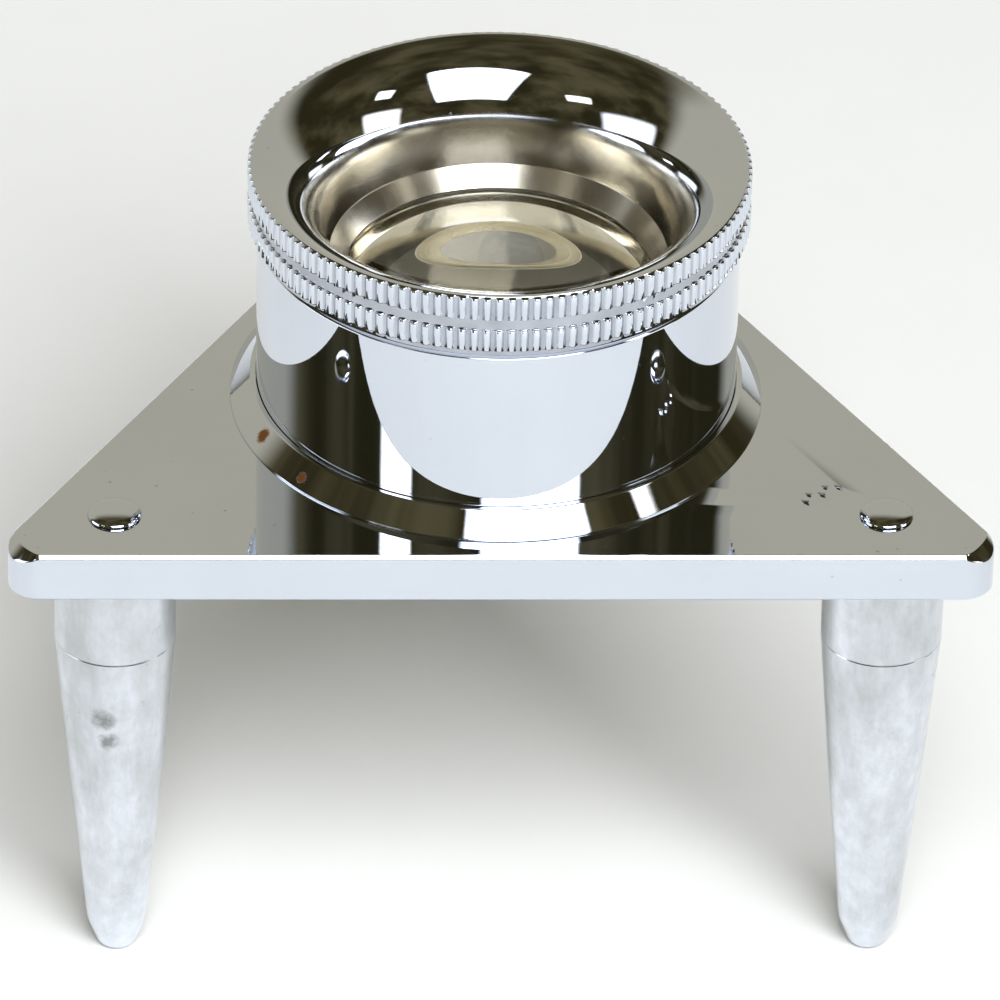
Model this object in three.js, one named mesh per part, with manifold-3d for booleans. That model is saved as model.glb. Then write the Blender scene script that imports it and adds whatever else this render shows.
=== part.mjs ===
// A chrome stand magnifier: a three-cornered plate on three tapered legs carries a
// short barrel, and an eyepiece with a dished eyecup screws into the barrel to focus.
//
// Millimetres, +Z up. The origin is on the ground under the middle of the plate's
// bounding box. The optical axis is upright and lies a little towards -Y from there,
// because a triangle's centroid is not the middle of its box.

import * as THREE from 'three';
import { mergeVertices } from 'three/addons/utils/BufferGeometryUtils.js';
import Module from 'manifold-3d';

const wasm = await Module();
wasm.setup();

// ---- Driving dimensions ----

const ROUND_STEPS = 48;
const SMALL_ROUND_STEPS = 24;

// Plate: an equilateral triangle, its sharp side length before the corners are rounded.
const PLATE_SIDE = 76;
const PLATE_CORNER_RADIUS = 2.3;
const PLATE_THICKNESS = 4;
const PLATE_BEVEL = 0.27;

// Legs, by height above the ground.
const LEG_LENGTH = 35;
const LEG_TOP_RADIUS = 4.55;
const LEG_SHOULDER_HEIGHT = 28.5;
const LEG_SHOULDER_RADIUS = 4.5;
const LEG_TIP_RADIUS = 2.25;
const LEG_TIP_HEIGHT = 2.4;
const LEG_FOOT_RADIUS = 1.4;
const LEG_PLACE = 0.75;

// Rivets: a domed head on the plate and a shank down into the leg.
const RIVET_HEAD_RADIUS = 2.0;
const RIVET_HEAD_HEIGHT = 0.6;
const RIVET_SHANK_RADIUS = 1.5;
const RIVET_DEPTH_IN_LEG = 8;
const RIVET_CLEARANCE = 0.05;
const RIVET_END_GAP = 0.3;

// Barrel: a tube that stands on the plate, with a spigot down through the plate.
const BARREL_RADIUS = 18;
const BARREL_BORE_RADIUS = 16.6;
const BARREL_HEIGHT = 15;
const BARREL_CHAMFER = 0.3;
const SPIGOT_RADIUS = 17.3;
const SPIGOT_CLEARANCE = 0.05;

const COLLAR_BASE_RADIUS = 20;
const COLLAR_TOP_RADIUS = 18.4;
const COLLAR_HEIGHT = 1.8;
const COLLAR_CLEARANCE = 0.05;

const LOCK_RING_RADIUS = 19;
const LOCK_RING_THICKNESS = 1.5;
const LOCK_RING_NOTCHES = 4;
const LOCK_RING_NOTCH_WIDTH = 2.4;
const LOCK_RING_NOTCH_DEPTH = 0.9;

// Eyecup, by height above the plate's top.
const EYECUP_GAP = 0.3;
const EYECUP_TOP = 20.4;
const EYECUP_RIM_RADIUS = 18.1;
const EYECUP_GROOVE_RADIUS = 18.2;
const EYECUP_BAND_RADIUS = 18.5;

// Knurling: two rows of upright teeth with a plain groove between them.
const KNURL_TEETH = 128;
const KNURL_CREST_RADIUS = 18.7;
const KNURL_ROOT_RADIUS = 18.35;
const KNURL_ROW_STARTS = [15.75, 18.43];
const KNURL_ROW_HEIGHT = 1.85;

// Skirt: the threaded tube below the knurling, and the relief groove above its thread.
const SKIRT_RADIUS = 16.5;
const SKIRT_BOTTOM = 0.6;
const SKIRT_CHAMFER = 0.4;
const RELIEF_RADIUS = 16;
const RELIEF_LENGTH = 1.2;

// Bowl: the lip rolls over in one arc, from a gentle slope at the rim to a steep one at
// the throat. A straight cone leads on to the foot, where a bevelled lip stands in
// under it and holds the upper lens.
const BOWL_LIP_SLOPE = THREE.MathUtils.degToRad(17);
const BOWL_THROAT_SLOPE = THREE.MathUtils.degToRad(78);
const BOWL_ROLL_RADIUS = 7.08;
const BOWL_FOOT_RADIUS = 12.65;
const BOWL_FOOT_HEIGHT = 12.3;
const BOWL_STEPS = 11;
const SEAT_LIP_RADIUS = 11.45;
const SEAT_LIP_HEIGHT = 10.87;
const SEAT_HEIGHT = 10.7;

// Lens pair: two plano-convex lenses with their curved faces up. Each is given by its
// curvature and the heights of its flat face and of the top of its edge.
const LENS_RADIUS = 12.5;
const UPPER_LENS = { curvature: 26, flat: 8.7, edge: 10.1 };
const LOWER_LENS = { curvature: 30, flat: 2.3, edge: 3.5 };
const LENS_STEPS = 8;
const CELL_CLEARANCE = 0.05;
const SEAT_GAP = 0.02;

// Spacer between the lenses: radius and depth below its top, down its stepped bore.
const SPACER_STEPS = [[12.1, 0], [11.4, 0.7], [11.3, 1.3], [10.6, 2], [10.5, 2.1]];
const SPACER_LENS_GAP = 0.05;

const RETAINER_BORE_RADIUS = 11.4;
const RETAINER_LENGTH = 1.4;
const RETAINER_SLOT_WIDTH = 1.2;
const RETAINER_SLOT_DEPTH = 0.7;

// ---- Places worked out from the dimensions ----

const plateBottom = LEG_LENGTH;
const plateTop = LEG_LENGTH + PLATE_THICKNESS;
const inradius = PLATE_SIDE / (2 * Math.sqrt(3));
const circumradius = 2 * inradius;
const rearReach = circumradius - PLATE_CORNER_RADIUS;
const axisY = -(rearReach - inradius) / 2;
const legDistance = LEG_PLACE * circumradius;
const cornerAngles = {
  front_left: THREE.MathUtils.degToRad(210),
  front_right: THREE.MathUtils.degToRad(330),
  rear: THREE.MathUtils.degToRad(90),
};

function cornerPlace(angle, distance) {
  return new THREE.Vector2(distance * Math.cos(angle), distance * Math.sin(angle));
}

// ---- Materials ----

function metal(color, roughness) {
  return new THREE.MeshStandardMaterial({ color, roughness, metalness: 1 });
}

const chrome = () => metal(0xd6d9dc, 0.08);
const aluminium = () => metal(0xb4bac2, 0.38);
const bareBrass = () => metal(0x9e8d61, 0.35);
const glass = () => new THREE.MeshStandardMaterial({
  color: 0xe6ece4,
  roughness: 0.03,
  metalness: 0,
  transparent: true,
  opacity: 0.35,
});

// ---- Solids ----

// Turns a profile of [radius, height] pairs about +Z. The profile runs upwards on the
// outside, so that its faces point out, and it is closed here unless it meets the axis.
function turned(profile, steps = ROUND_STEPS) {
  const points = profile.map(([radius, height]) => new THREE.Vector2(radius, height));
  if (points[0].x > 0) {
    points.push(points[0].clone());
  }
  const geometry = new THREE.LatheGeometry(points, steps);
  geometry.rotateX(Math.PI / 2);
  return welded(geometry);
}

function welded(geometry) {
  geometry.deleteAttribute('normal');
  geometry.deleteAttribute('uv');
  return mergeVertices(geometry);
}

function toSolid(geometry) {
  const source = welded(geometry.clone());
  return new wasm.Manifold(new wasm.Mesh({
    numProp: 3,
    vertProperties: new Float32Array(source.attributes.position.array),
    triVerts: new Uint32Array(source.index.array),
  }));
}

function toGeometry(solid) {
  const mesh = solid.getMesh();
  const geometry = new THREE.BufferGeometry();
  geometry.setAttribute('position', new THREE.BufferAttribute(mesh.vertProperties, mesh.numProp));
  geometry.setIndex(new THREE.BufferAttribute(mesh.triVerts, 1));
  return geometry;
}

function cut(geometry, tools) {
  let solid = toSolid(geometry);
  for (const tool of tools) {
    solid = solid.subtract(toSolid(tool));
  }
  return toGeometry(solid);
}

function joined(geometry, additions) {
  let solid = toSolid(geometry);
  for (const addition of additions) {
    solid = solid.add(toSolid(addition));
  }
  return toGeometry(solid);
}

function rod(radius, bottom, top, steps) {
  return turned([[0, bottom], [radius, bottom], [radius, top], [0, top]], steps);
}

function roundedTriangle() {
  const centreDistance = circumradius - 2 * PLATE_CORNER_RADIUS;
  const shape = new THREE.Shape();
  for (const angle of [cornerAngles.rear, cornerAngles.front_left, cornerAngles.front_right]) {
    const centre = cornerPlace(angle, centreDistance);
    const sweep = Math.PI / 3;
    shape.absarc(centre.x, centre.y, PLATE_CORNER_RADIUS, angle - sweep, angle + sweep, false);
  }
  shape.closePath();
  return shape;
}

function plateGeometry() {
  const plate = new THREE.ExtrudeGeometry(roundedTriangle(), {
    depth: PLATE_THICKNESS - 2 * PLATE_BEVEL,
    bevelThickness: PLATE_BEVEL,
    bevelSize: PLATE_BEVEL,
    bevelOffset: -PLATE_BEVEL,
    bevelSegments: 1,
    curveSegments: 6,
  });
  plate.translate(0, 0, plateBottom + PLATE_BEVEL);
  const through = [plateBottom - 1, plateTop + 1];
  const holes = [rod(SPIGOT_RADIUS + SPIGOT_CLEARANCE, ...through, ROUND_STEPS)];
  for (const angle of Object.values(cornerAngles)) {
    const place = cornerPlace(angle, legDistance);
    const hole = rod(RIVET_SHANK_RADIUS + RIVET_CLEARANCE, ...through, SMALL_ROUND_STEPS);
    holes.push(hole.translate(place.x, place.y, 0));
  }
  return cut(plate, holes);
}

function legGeometry() {
  const holeRadius = RIVET_SHANK_RADIUS + RIVET_CLEARANCE;
  const holeBottom = LEG_LENGTH - RIVET_DEPTH_IN_LEG - RIVET_END_GAP;
  const tipMiddleRadius = LEG_TIP_RADIUS - (LEG_TIP_RADIUS - LEG_FOOT_RADIUS) * 0.35;
  const taper = (LEG_SHOULDER_RADIUS - LEG_TIP_RADIUS) / (LEG_SHOULDER_HEIGHT - LEG_TIP_HEIGHT);
  return turned([
    [0, 0],
    [LEG_FOOT_RADIUS, 0],
    [tipMiddleRadius, LEG_TIP_HEIGHT * 0.3],
    [LEG_TIP_RADIUS, LEG_TIP_HEIGHT],
    [LEG_TIP_RADIUS + taper * LEG_LENGTH / 2, LEG_TIP_HEIGHT + LEG_LENGTH / 2],
    [LEG_SHOULDER_RADIUS, LEG_SHOULDER_HEIGHT],
    [LEG_TOP_RADIUS, LEG_LENGTH],
    [holeRadius, LEG_LENGTH],
    [holeRadius, holeBottom],
    [0, holeBottom],
  ], SMALL_ROUND_STEPS);
}

function rivetGeometry() {
  const shankBottom = plateBottom - RIVET_DEPTH_IN_LEG;
  const profile = [
    [0, shankBottom],
    [RIVET_SHANK_RADIUS, shankBottom],
    [RIVET_SHANK_RADIUS, plateTop],
  ];
  const domeSteps = 4;
  for (let step = 0; step <= domeSteps; step += 1) {
    const angle = (step / domeSteps) * Math.PI / 2;
    const radius = step === domeSteps ? 0 : RIVET_HEAD_RADIUS * Math.cos(angle);
    profile.push([radius, plateTop + RIVET_HEAD_HEIGHT * Math.sin(angle)]);
  }
  return turned(profile, SMALL_ROUND_STEPS);
}

function barrelGeometry() {
  const top = plateTop + BARREL_HEIGHT;
  const spigotBottom = plateBottom - LOCK_RING_THICKNESS;
  return turned([
    [SPIGOT_RADIUS, spigotBottom],
    [SPIGOT_RADIUS, plateTop],
    [BARREL_RADIUS, plateTop],
    [BARREL_RADIUS, top - BARREL_CHAMFER],
    [BARREL_RADIUS - BARREL_CHAMFER, top],
    [BARREL_BORE_RADIUS, top],
    [BARREL_BORE_RADIUS, spigotBottom],
  ]);
}

function collarGeometry() {
  const bore = BARREL_RADIUS + COLLAR_CLEARANCE;
  return turned([
    [COLLAR_BASE_RADIUS, plateTop],
    [COLLAR_TOP_RADIUS, plateTop + COLLAR_HEIGHT],
    [bore, plateTop + COLLAR_HEIGHT],
    [bore, plateTop],
  ]);
}

function lockRingGeometry() {
  const bottom = plateBottom - LOCK_RING_THICKNESS;
  const bore = SPIGOT_RADIUS + SPIGOT_CLEARANCE;
  const ring = turned([
    [LOCK_RING_RADIUS, bottom],
    [LOCK_RING_RADIUS, plateBottom],
    [bore, plateBottom],
    [bore, bottom],
  ]);
  const notches = [];
  for (let index = 0; index < LOCK_RING_NOTCHES; index += 1) {
    const notch = new THREE.BoxGeometry(
      2 * LOCK_RING_NOTCH_DEPTH,
      LOCK_RING_NOTCH_WIDTH,
      4 * LOCK_RING_THICKNESS,
    );
    notch.translate(LOCK_RING_RADIUS, 0, bottom);
    notch.rotateZ((index + 0.5) * 2 * Math.PI / LOCK_RING_NOTCHES);
    notches.push(notch);
  }
  return cut(ring, notches);
}

// The arc's centre lies in the metal, below and outside the rim.
function bowlProfile() {
  const rim = new THREE.Vector2(EYECUP_RIM_RADIUS, EYECUP_TOP);
  const centre = new THREE.Vector2(
    rim.x + BOWL_ROLL_RADIUS * Math.sin(BOWL_LIP_SLOPE),
    rim.y - BOWL_ROLL_RADIUS * Math.cos(BOWL_LIP_SLOPE),
  );
  const points = [];
  for (let step = 0; step <= BOWL_STEPS; step += 1) {
    const slope = THREE.MathUtils.lerp(BOWL_LIP_SLOPE, BOWL_THROAT_SLOPE, step / BOWL_STEPS);
    const radius = centre.x - BOWL_ROLL_RADIUS * Math.sin(slope);
    const height = centre.y + BOWL_ROLL_RADIUS * Math.cos(slope);
    points.push([radius, height]);
  }
  return points;
}

// A ring with upright V teeth outside. Its bore lies in the eyecup's wall, which it joins.
function knurlRingGeometry(start) {
  const outline = [];
  for (let index = 0; index < 2 * KNURL_TEETH; index += 1) {
    const angle = index * Math.PI / KNURL_TEETH;
    const radius = index % 2 === 0 ? KNURL_CREST_RADIUS : KNURL_ROOT_RADIUS;
    outline.push(new THREE.Vector2(radius * Math.cos(angle), radius * Math.sin(angle)));
  }
  const shape = new THREE.Shape(outline);
  const bore = new THREE.Path();
  bore.absarc(0, 0, EYECUP_GROOVE_RADIUS - 1, 0, 2 * Math.PI, true);
  shape.holes.push(bore);
  const ring = new THREE.ExtrudeGeometry(shape, {
    depth: KNURL_ROW_HEIGHT,
    bevelEnabled: false,
    curveSegments: SMALL_ROUND_STEPS,
  });
  return ring.translate(0, 0, plateTop + start);
}

function eyecupGeometry() {
  const underside = BARREL_HEIGHT + EYECUP_GAP;
  const cell = LENS_RADIUS + CELL_CLEARANCE;
  const profile = [
    [SKIRT_RADIUS - SKIRT_CHAMFER, SKIRT_BOTTOM],
    [SKIRT_RADIUS, SKIRT_BOTTOM + SKIRT_CHAMFER],
    [SKIRT_RADIUS, underside - RELIEF_LENGTH],
    [RELIEF_RADIUS, underside - RELIEF_LENGTH],
    [RELIEF_RADIUS, underside],
    [EYECUP_BAND_RADIUS, underside],
    [EYECUP_BAND_RADIUS, KNURL_ROW_STARTS[0]],
    [EYECUP_GROOVE_RADIUS, KNURL_ROW_STARTS[0]],
    [EYECUP_GROOVE_RADIUS, EYECUP_TOP],
    ...bowlProfile(),
    [BOWL_FOOT_RADIUS, BOWL_FOOT_HEIGHT],
    [SEAT_LIP_RADIUS, SEAT_LIP_HEIGHT],
    [SEAT_LIP_RADIUS, SEAT_HEIGHT],
    [cell, SEAT_HEIGHT],
    [cell, SKIRT_BOTTOM + SKIRT_CHAMFER],
    [cell + SKIRT_CHAMFER, SKIRT_BOTTOM],
  ];
  const body = turned(profile.map(([radius, height]) => [radius, plateTop + height]));
  return joined(body, KNURL_ROW_STARTS.map(knurlRingGeometry));
}

// Height above the plate of a lens's curved face at a radius.
function lensHeight(lens, radius) {
  const rise = Math.sqrt(lens.curvature ** 2 - radius ** 2);
  return lens.edge + rise - Math.sqrt(lens.curvature ** 2 - LENS_RADIUS ** 2);
}

function lensGeometry(lens) {
  const profile = [[0, plateTop + lens.flat], [LENS_RADIUS, plateTop + lens.flat]];
  for (let step = LENS_STEPS; step >= 0; step -= 1) {
    const radius = LENS_RADIUS * step / LENS_STEPS;
    profile.push([radius, plateTop + lensHeight(lens, radius)]);
  }
  return turned(profile);
}

// The spacer's bore edge bears on the lower lens, and its top on the upper lens.
function spacerGeometry() {
  const top = plateTop + UPPER_LENS.flat - SEAT_GAP;
  const bore = SPACER_STEPS.at(-1)[0];
  return turned([
    [LENS_RADIUS, plateTop + LOWER_LENS.edge + SEAT_GAP],
    [LENS_RADIUS, top],
    ...SPACER_STEPS.map(([radius, depth]) => [radius, top - depth]),
    [bore, plateTop + lensHeight(LOWER_LENS, bore) + SPACER_LENS_GAP],
  ]);
}

function retainerGeometry() {
  const top = plateTop + LOWER_LENS.flat - SEAT_GAP;
  const bottom = top - RETAINER_LENGTH;
  const ring = turned([
    [LENS_RADIUS, bottom],
    [LENS_RADIUS, top],
    [RETAINER_BORE_RADIUS, top],
    [RETAINER_BORE_RADIUS, bottom],
  ]);
  const slot = new THREE.BoxGeometry(
    3 * LENS_RADIUS,
    RETAINER_SLOT_WIDTH,
    2 * RETAINER_SLOT_DEPTH,
  );
  slot.translate(0, 0, bottom);
  return cut(ring, [slot]);
}

// ---- Assembly ----

function node(name, geometry, material) {
  const mesh = new THREE.Mesh(geometry, material);
  mesh.name = name;
  return mesh;
}

const stand = new THREE.Group();
stand.add(node('base_plate', plateGeometry(), chrome()));
for (const [corner, angle] of Object.entries(cornerAngles)) {
  const place = cornerPlace(angle, legDistance);
  const leg = node(`leg_${corner}`, legGeometry(), aluminium());
  const rivet = node(`rivet_${corner}`, rivetGeometry(), chrome());
  leg.position.set(place.x, place.y, 0);
  rivet.position.set(place.x, place.y, 0);
  stand.add(leg, rivet);
}
stand.add(node('barrel', barrelGeometry(), chrome()));
stand.add(node('barrel_collar', collarGeometry(), chrome()));
stand.add(node('barrel_lock_ring', lockRingGeometry(), bareBrass()));

const eyepiece = new THREE.Group();
eyepiece.add(node('eyecup', eyecupGeometry(), chrome()));
eyepiece.add(node('upper_lens', lensGeometry(UPPER_LENS), glass()));
eyepiece.add(node('lens_spacer', spacerGeometry(), bareBrass()));
eyepiece.add(node('lower_lens', lensGeometry(LOWER_LENS), glass()));
eyepiece.add(node('lens_retaining_ring', retainerGeometry(), bareBrass()));

const group = new THREE.Group();
group.add(stand, eyepiece);
group.position.set(0, axisY, 0);

export default group;
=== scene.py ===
"""Looks of a chrome stand magnifier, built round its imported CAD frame.

Lengths are in millimetres in this script and become metres where a mesh is made.
Heights and radii are worked out from the frame's boxes, so every piece lands on its
CAD node.
"""

import math

import bmesh
import bpy
from mathutils import Matrix, Vector
from mathutils.geometry import delaunay_2d_cdt


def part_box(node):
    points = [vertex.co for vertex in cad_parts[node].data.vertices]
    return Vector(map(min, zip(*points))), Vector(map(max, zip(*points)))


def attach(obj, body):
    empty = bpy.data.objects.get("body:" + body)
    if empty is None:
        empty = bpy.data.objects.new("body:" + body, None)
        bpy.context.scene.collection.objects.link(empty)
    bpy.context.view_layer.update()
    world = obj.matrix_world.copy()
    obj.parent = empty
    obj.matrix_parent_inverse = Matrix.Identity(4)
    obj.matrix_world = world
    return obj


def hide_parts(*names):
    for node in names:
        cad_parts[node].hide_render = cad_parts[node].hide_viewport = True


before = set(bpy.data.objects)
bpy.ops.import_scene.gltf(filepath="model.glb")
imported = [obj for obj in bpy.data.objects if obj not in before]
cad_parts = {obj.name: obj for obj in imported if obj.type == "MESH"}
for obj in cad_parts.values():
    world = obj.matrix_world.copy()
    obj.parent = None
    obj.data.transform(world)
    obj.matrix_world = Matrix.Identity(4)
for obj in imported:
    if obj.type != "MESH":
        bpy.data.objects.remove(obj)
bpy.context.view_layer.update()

MM = 0.001
TURN = 2 * math.pi

# ---- Places from the frame, in millimetres ----


def box_mm(node):
    low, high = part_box(node)
    return low / MM, high / MM


plate_low, plate_high = box_mm("base_plate")
barrel_low, barrel_high = box_mm("barrel")
eyecup_low, eyecup_high = box_mm("eyecup")
AXIS = Vector(((barrel_low.x + barrel_high.x) / 2, (barrel_low.y + barrel_high.y) / 2))
PLATE_TOP = plate_high.z
PLATE_BOTTOM = plate_low.z
PLATE_THICKNESS = PLATE_TOP - PLATE_BOTTOM
BARREL_TOP = barrel_high.z
RIM_TOP = eyecup_high.z
BARREL_RADIUS = (barrel_high.x - barrel_low.x) / 2
KNURL_RADIUS = (eyecup_high.x - eyecup_low.x) / 2

# The eyepiece's underside clears the barrel by this much when it is screwed down.
EYEPIECE_GAP = 0.3
# The underside of the lip that the upper lens sits against.
LENS_SEAT = RIM_TOP - 9.7
SPIGOT_RADIUS = 17.3
SHANK_RADIUS = 1.5
# Clearance between pieces that fit one inside the other.
FIT = 0.05

# Points round a turned surface, and the usual rounding of a turned edge.
COLUMNS = 256
FINE_EDGE = 0.08
# Edges that fold by more than this are shaded sharp.
SHARP_FOLD = math.radians(40)

# ---- Mesh helpers ----


def soften(corners, closed=False, steps=4, guard=0.05):
    """Rounds the corners of an outline of (x, y, corner radius) and returns (x, y) points.

    A guard point just outside each rounded corner keeps the flats beside it flat when
    they are shaded smooth.
    """
    count = len(corners)
    points = []
    for index, (x, y, radius) in enumerate(corners):
        here = Vector((x, y))
        if radius <= 0 or (not closed and index in (0, count - 1)):
            points.append(here)
            continue
        before = Vector(corners[index - 1][:2]) - here
        after = Vector(corners[(index + 1) % count][:2]) - here
        bend = math.pi - before.angle(after)
        reach = radius * math.tan(bend / 2)
        reach = min(reach, 0.45 * before.length, 0.45 * after.length)
        start = here + before.normalized() * reach
        end = here + after.normalized() * reach
        if before.length > 4 * (reach + guard):
            points.append(start + before.normalized() * guard)
        for step in range(steps + 1):
            t = step / steps
            points.append((1 - t) ** 2 * start + 2 * t * (1 - t) * here + t**2 * end)
        if after.length > 4 * (reach + guard):
            points.append(end + after.normalized() * guard)
    return [(point.x, point.y) for point in points]


def ring_points(radius, height, angles, centre=AXIS):
    return [
        Vector((centre.x + radius * math.cos(a), centre.y + radius * math.sin(a), height))
        for a in angles
    ]


def even_angles(count=COLUMNS):
    return [TURN * index / count for index in range(count)]


def add_ring(mesh, points):
    return [mesh.verts.new(point * MM) for point in points]


def join_rings(mesh, lower, upper):
    count = len(lower)
    for index in range(count):
        after = (index + 1) % count
        mesh.faces.new((lower[index], lower[after], upper[after], upper[index]))


def join_sectors(mesh, fine, coarse, sectors):
    """Joins a ring to one of fewer points in the same plane, one face for each sector."""
    fine_step = len(fine) // sectors
    coarse_step = len(coarse) // sectors
    for sector in range(sectors):
        outer = [fine[(sector * fine_step + i) % len(fine)] for i in range(fine_step + 1)]
        inner = [
            coarse[(sector * coarse_step + i) % len(coarse)] for i in range(coarse_step + 1)
        ]
        mesh.faces.new(outer + inner[::-1])


def add_lathe(mesh, profile, angles, centre=AXIS, closed=False):
    """Adds a turned surface and returns its first and last rings."""
    rings = []
    for radius, height in profile:
        if radius < 1e-6:
            rings.append([mesh.verts.new(Vector((centre.x, centre.y, height)) * MM)])
        else:
            rings.append(add_ring(mesh, ring_points(radius, height, angles, centre)))
    pairs = list(zip(rings, rings[1:]))
    if closed:
        pairs.append((rings[-1], rings[0]))
    for lower, upper in pairs:
        if len(lower) == 1 or len(upper) == 1:
            pole = lower[0] if len(lower) == 1 else upper[0]
            ring = upper if len(lower) == 1 else lower
            for index in range(len(ring)):
                mesh.faces.new((ring[index], ring[(index + 1) % len(ring)], pole))
        else:
            join_rings(mesh, lower, upper)
    return rings[0], rings[-1]


def finish_piece(name, mesh, body, nodes, material):
    """Turns a bmesh into a piece that rides on a body and stands for CAD nodes."""
    bmesh.ops.remove_doubles(mesh, verts=mesh.verts, dist=1e-8)
    bmesh.ops.recalc_face_normals(mesh, faces=mesh.faces)
    for face in mesh.faces:
        face.smooth = True
    for edge in mesh.edges:
        if len(edge.link_faces) == 2 and edge.calc_face_angle() > SHARP_FOLD:
            edge.smooth = False
    data = bpy.data.meshes.new(name)
    mesh.to_mesh(data)
    mesh.free()
    piece = bpy.data.objects.new(name, data)
    bpy.context.scene.collection.objects.link(piece)
    data.materials.append(material)
    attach(piece, body)
    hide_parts(*nodes)
    return piece


def turned_piece(name, profile, body, node, material, columns=COLUMNS, centre=AXIS):
    """A piece turned from a closed profile, or from one that starts and ends on the axis."""
    mesh = bmesh.new()
    on_axis = profile[0][0] < 1e-6
    add_lathe(mesh, profile, even_angles(columns), centre, closed=not on_axis)
    return finish_piece(name, mesh, body, [node], material)


def add_thread(mesh, radius, depth, pitch, bottom, top):
    """Adds a helical thread between two plain circles of that radius.

    The crests are at the radius and the roots are the depth inside it. The rows follow
    the helix, and they are held between bottom and top, where they fall together on one
    circle and are merged.
    """
    columns = COLUMNS
    rows_per_pitch = 8
    runout = 0.8 * pitch
    # The flanks would meet at this many times the depth, but the crest is cut flat.
    overshoot = 1.35
    first = -rows_per_pitch
    last = int((top - bottom) / pitch * rows_per_pitch) + rows_per_pitch

    def place(row, column):
        angle = TURN * column / columns
        height = bottom + pitch * (row / rows_per_pitch + column / columns)
        held = min(max(height, bottom), top)
        fade = min(1.0, (held - bottom) / runout, (top - held) / runout)
        phase = (row % rows_per_pitch) / rows_per_pitch
        ridge = min(1.0, overshoot * (1 - abs(2 * phase - 1)))
        out = radius + depth * (ridge - 1) * fade
        return ring_points(out, held, [angle])[0]

    grid = [
        [mesh.verts.new(place(row, column) * MM) for column in range(columns)]
        for row in range(first, last + 1)
    ]
    rows = len(grid)
    for row in range(rows - 1):
        for column in range(columns):
            if column + 1 < columns:
                corners = (
                    grid[row][column],
                    grid[row][column + 1],
                    grid[row + 1][column + 1],
                    grid[row + 1][column],
                )
            else:
                low = min(row + rows_per_pitch, rows - 1)
                high = min(row + 1 + rows_per_pitch, rows - 1)
                if low == high:
                    continue
                corners = (
                    grid[row][column],
                    grid[low][0],
                    grid[high][0],
                    grid[row + 1][column],
                )
            mesh.faces.new(corners)
    # The rows before the first whole turn leave a gap at the seam, on the bottom circle.
    for row in range(rows_per_pitch):
        mesh.faces.new((grid[0][columns - 1], grid[row][0], grid[row + 1][0]))
    collapse(mesh)


def collapse(mesh):
    """Merges points that fall together and drops the faces that this leaves empty."""
    bmesh.ops.remove_doubles(mesh, verts=mesh.verts, dist=1e-7)
    bmesh.ops.dissolve_degenerate(mesh, edges=mesh.edges, dist=1e-7)


# ---- Material helpers ----


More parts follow.
